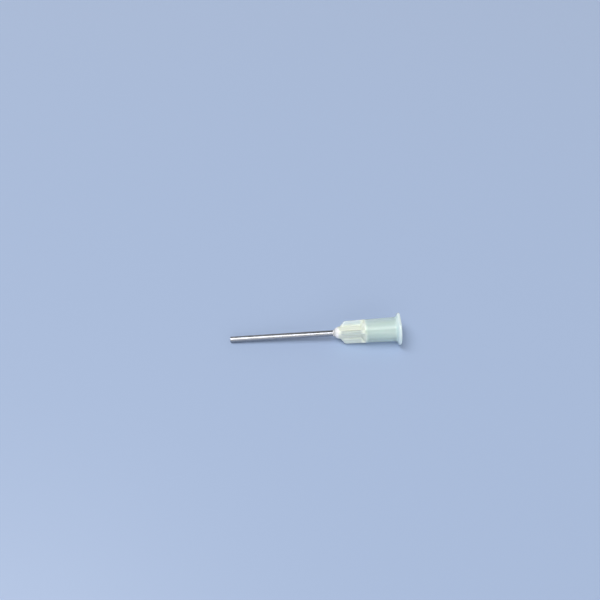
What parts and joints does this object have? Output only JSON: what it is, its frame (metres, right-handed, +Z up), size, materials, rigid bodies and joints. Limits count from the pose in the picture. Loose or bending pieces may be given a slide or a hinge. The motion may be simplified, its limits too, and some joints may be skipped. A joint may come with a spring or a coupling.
{
  "type": "blunt cannula",
  "caption": "Blunt steel cannula bonded into a translucent moulded hub, with longitudinal grip fins, a tapered luer socket and a flange with locking lugs.",
  "frame": {"origin": "on the surface that the cannula lies on, under the middle of its box", "axes": "+X towards the hub's open end and -X towards the blunt tip, +Z up; the axis climbs 3.7 degrees towards the hub"},
  "size_m": [0.0416, 0.0078, 0.0068],
  "materials": {
    "stainless_tube": "drawn and polished stainless tube, bright line along its top, cut square",
    "hub_plastic": "translucent natural polypropylene with a faint green tint, satin moulded skin, milky where it is thick",
    "adhesive": "clear cured epoxy, faintly straw-coloured, glossy"
  },
  "bodies": {
    "root": {"cannula_tube": "stainless_tube", "hub": "hub_plastic", "adhesive_bead": "adhesive"}
  },
  "joints": []
}
